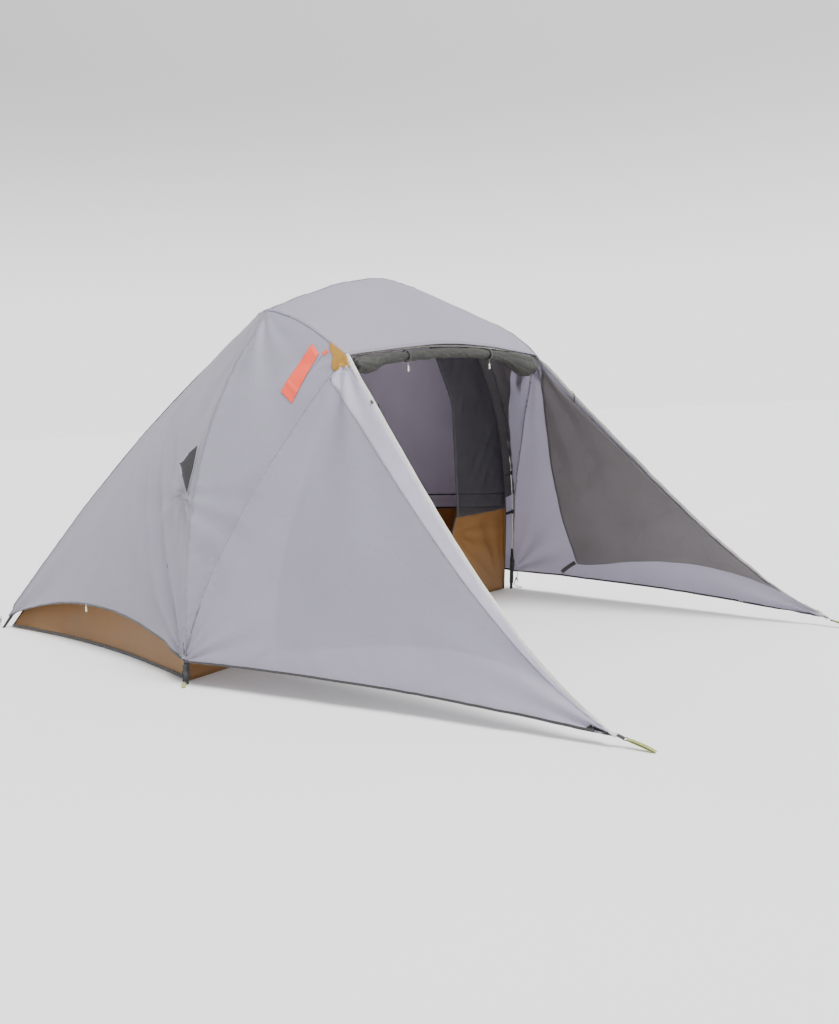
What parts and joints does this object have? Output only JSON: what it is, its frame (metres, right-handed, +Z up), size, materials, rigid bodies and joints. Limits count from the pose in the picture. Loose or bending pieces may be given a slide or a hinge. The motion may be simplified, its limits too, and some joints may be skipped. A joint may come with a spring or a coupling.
{
  "type": "dome tent",
  "caption": "Hubbed-pole dome tent: inner tent with a tub floor and mesh front, under a fly with two staked wings that form an open vestibule.",
  "frame": {"origin": "on the ground, at the middle of the rectangle between the four pole feet, on the underside of the tub floor", "axes": "-Y out of the door towards the vestibule, +Z up, +X to the right of someone inside who faces +Y, away from the door"},
  "size_m": [2.4728, 4.035, 1.7289],
  "materials": {
    "fly_fabric": "coated ripstop, slight sheen, lets light through",
    "fly_liner": "matt woven fabric",
    "inner_mesh": "fine see-through netting",
    "inner_fabric": "thin uncoated ripstop",
    "tub_fabric": "coated fabric, satin",
    "webbing": "black woven tape",
    "loop_webbing": "yellow-green woven tape",
    "pole_alloy": "anodised, satin",
    "moulding": "black nylon",
    "toggle_plastic": "pale smooth plastic"
  },
  "bodies": {
    "tent": {"brow_pocket_left": "tub_fabric", "brow_pocket_right": "tub_fabric", "brow_pole": "pole_alloy", "crown_hub": "moulding", "door_roll": "fly_liner", "fly_brow": "fly_fabric", "fly_gusset_left": "fly_fabric", "fly_gusset_right": "fly_fabric", "fly_rear": "fly_fabric", "fly_roof": "fly_fabric", "fly_side_left": "fly_fabric", "fly_side_right": "fly_fabric", "front_boot_left": "webbing", "front_boot_right": "webbing", "front_pole_left": "pole_alloy", "front_pole_right": "pole_alloy", "inner_corner_panel_left": "fly_liner", "inner_corner_panel_right": "fly_liner", "inner_door_roll": "inner_mesh", "inner_front_left": "inner_mesh", "inner_front_right": "inner_mesh", "inner_roof": "inner_fabric", "inner_wall_left": "inner_fabric", "inner_wall_rear": "inner_fabric", "inner_wall_right": "inner_fabric", "rear_boot_left": "webbing", "rear_boot_right": "webbing", "rear_pole_left": "pole_alloy", "rear_pole_right": "pole_alloy", "roll_tie_left": "webbing", "roll_tie_right": "webbing", "roof_arch_pole": "pole_alloy", "roof_pole_left": "pole_alloy", "roof_pole_right": "pole_alloy", "shoulder_hub_left": "moulding", "shoulder_hub_right": "moulding", "tub_floor": "tub_fabric", "tub_wall_front": "tub_fabric", "tub_wall_left": "tub_fabric", "tub_wall_rear": "tub_fabric", "tub_wall_right": "tub_fabric", "wing_left": "fly_fabric", "wing_liner_left": "fly_liner", "wing_liner_right": "fly_liner", "wing_right": "fly_fabric"},
    "roll_toggle_left": {"roll_toggle_left": "toggle_plastic"},
    "roll_toggle_right": {"roll_toggle_right": "toggle_plastic"},
    "zip_pull_left": {"zip_pull_left": "webbing"},
    "zip_pull_right": {"zip_pull_right": "webbing"},
    "tip_tab_left": {"tip_tab_left": "loop_webbing"},
    "tip_tab_right": {"tip_tab_right": "loop_webbing"},
    "vent_hood_left": {"vent_hood_left": "fly_fabric"},
    "vent_hood_right": {"vent_hood_right": "fly_fabric"},
    "vent_prop_left": {"vent_prop_left": "toggle_plastic"},
    "vent_prop_right": {"vent_prop_right": "toggle_plastic"},
    "fly_buckle_front_left": {"fly_buckle_front_left": "moulding"},
    "fly_buckle_front_right": {"fly_buckle_front_right": "moulding"},
    "fly_buckle_rear_left": {"fly_buckle_rear_left": "moulding"},
    "fly_buckle_rear_right": {"fly_buckle_rear_right": "moulding"}
  },
  "joints": [
    {"name": "vent_hood_left_fold", "type": "hinge", "parent": "tent", "child": "vent_hood_left", "pos_m": [-1.1238, -0.97408, 0.80166], "axis": [0.3209, -0.0448, 0.9461], "range_deg": [-22, 0]},
    {"name": "vent_prop_left_fold", "type": "hinge", "parent": "tent", "child": "vent_prop_left", "pos_m": [-1.0503, -0.87275, 0.89061], "axis": [0.3209, -0.0448, 0.9461], "range_deg": [-110, 0]},
    {"name": "roll_toggle_left_swing", "type": "hinge", "parent": "tent", "child": "roll_toggle_left", "pos_m": [-0.3475, -1.569, 1.30505], "axis": [0.9966, -0.0426, 0.071], "range_deg": [-60, 60]},
    {"name": "zip_pull_left_swing", "type": "hinge", "parent": "tent", "child": "zip_pull_left", "pos_m": [-0.74133, -1.73603, 1.13744], "axis": [0, 1, 0], "range_deg": [-60, 30]},
    {"name": "tip_tab_left_lift", "type": "hinge", "parent": "tent", "child": "tip_tab_left", "pos_m": [-0.982, -2.925, 0.03], "axis": [1, 0, 0], "range_deg": [-120, 0]},
    {"name": "fly_buckle_front_left_slide", "type": "slide", "parent": "tent", "child": "fly_buckle_front_left", "axis": [-0.0751, -0.2004, 0.9768], "range_m": [-0.012, 0.012]},
    {"name": "fly_buckle_rear_left_slide", "type": "slide", "parent": "tent", "child": "fly_buckle_rear_left", "axis": [0.3013, -0.1507, 0.9416], "range_m": [-0.008, 0.008]},
    {"name": "vent_hood_right_fold", "type": "hinge", "parent": "tent", "child": "vent_hood_right", "pos_m": [1.1238, -0.97408, 0.80166], "axis": [-0.3209, -0.0448, 0.9461], "range_deg": [0, 22]},
    {"name": "vent_prop_right_fold", "type": "hinge", "parent": "tent", "child": "vent_prop_right", "pos_m": [1.0503, -0.87275, 0.89061], "axis": [-0.3209, -0.0448, 0.9461], "range_deg": [0, 110]},
    {"name": "roll_toggle_right_swing", "type": "hinge", "parent": "tent", "child": "roll_toggle_right", "pos_m": [0.2502, -1.57262, 1.31104], "axis": [0.9981, 0.0312, -0.0533], "range_deg": [-60, 60]},
    {"name": "zip_pull_right_swing", "type": "hinge", "parent": "tent", "child": "zip_pull_right", "pos_m": [0.74133, -1.73603, 1.13744], "axis": [0, 1, 0], "range_deg": [-30, 60]},
    {"name": "tip_tab_right_lift", "type": "hinge", "parent": "tent", "child": "tip_tab_right", "pos_m": [0.982, -2.925, 0.03], "axis": [1, 0, 0], "range_deg": [-120, 0]},
    {"name": "fly_buckle_front_right_slide", "type": "slide", "parent": "tent", "child": "fly_buckle_front_right", "axis": [0.0751, -0.2004, 0.9768], "range_m": [-0.012, 0.012]},
    {"name": "fly_buckle_rear_right_slide", "type": "slide", "parent": "tent", "child": "fly_buckle_rear_right", "axis": [-0.3013, -0.1507, 0.9416], "range_m": [-0.008, 0.008]}
  ],
  "couplings": [
    {"joint": "vent_prop_left_fold", "follows": "vent_hood_left_fold", "ratio": 5},
    {"joint": "vent_prop_right_fold", "follows": "vent_hood_right_fold", "ratio": 5}
  ]
}
